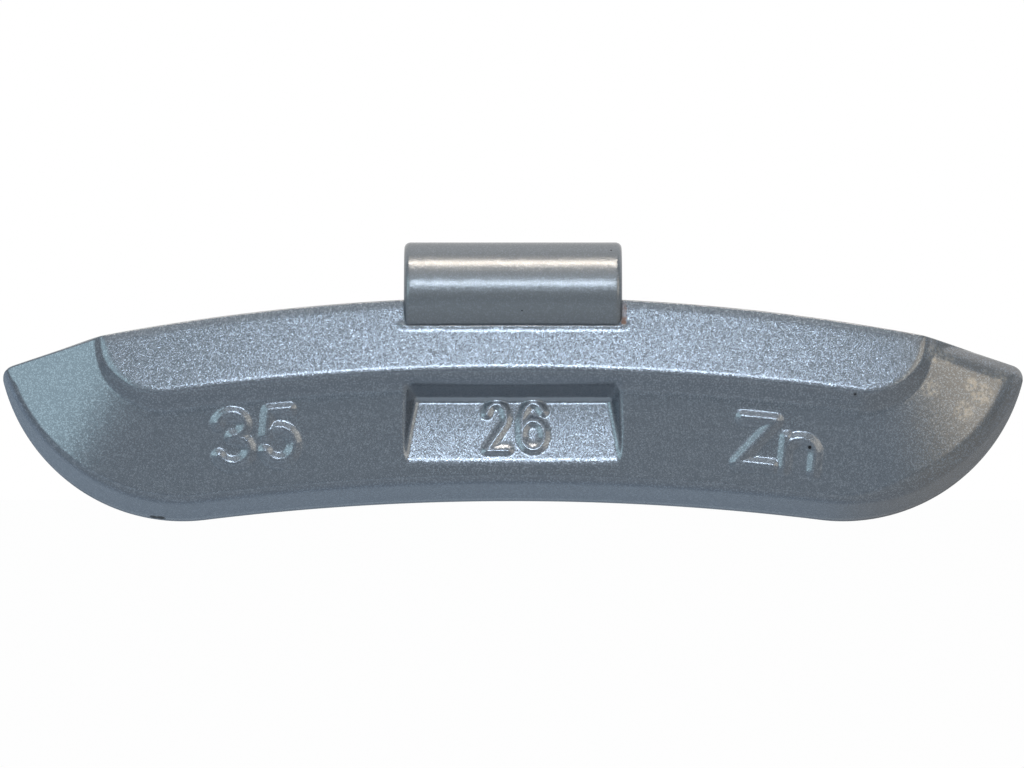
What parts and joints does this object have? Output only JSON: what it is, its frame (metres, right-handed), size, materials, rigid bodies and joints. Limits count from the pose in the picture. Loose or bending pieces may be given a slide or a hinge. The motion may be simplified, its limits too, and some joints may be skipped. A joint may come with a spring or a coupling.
{
  "type": "wheel balance weight",
  "caption": "Clip-on wheel balance weight: curved cast zinc body with a cast-in spring-steel clip that grips the edge of a steel wheel's rim flange.",
  "frame": {"origin": "mount rim_grip: mid length, on the plane of the flat back face, at the height of the body's top edge, where the rim flange's edge sits under the clip's bend", "axes": "+X along the rim, to the right seen from the front; +Y out of the flat back face, into the rim flange; +Z away from the wheel's axis, towards the clip's bend; the front face looks to -Y"},
  "size_m": [0.0804, 0.0096, 0.022],
  "materials": {
    "silver_coat": "silver-grey metallic stoving paint on zinc, satin, with fine bright flakes",
    "clip_coat": "the same silver-grey metallic paint on spring steel, smoother and glossier"
  },
  "bodies": {
    "root": {"cast_body": "silver_coat", "spring_clip": "clip_coat"}
  },
  "joints": []
}
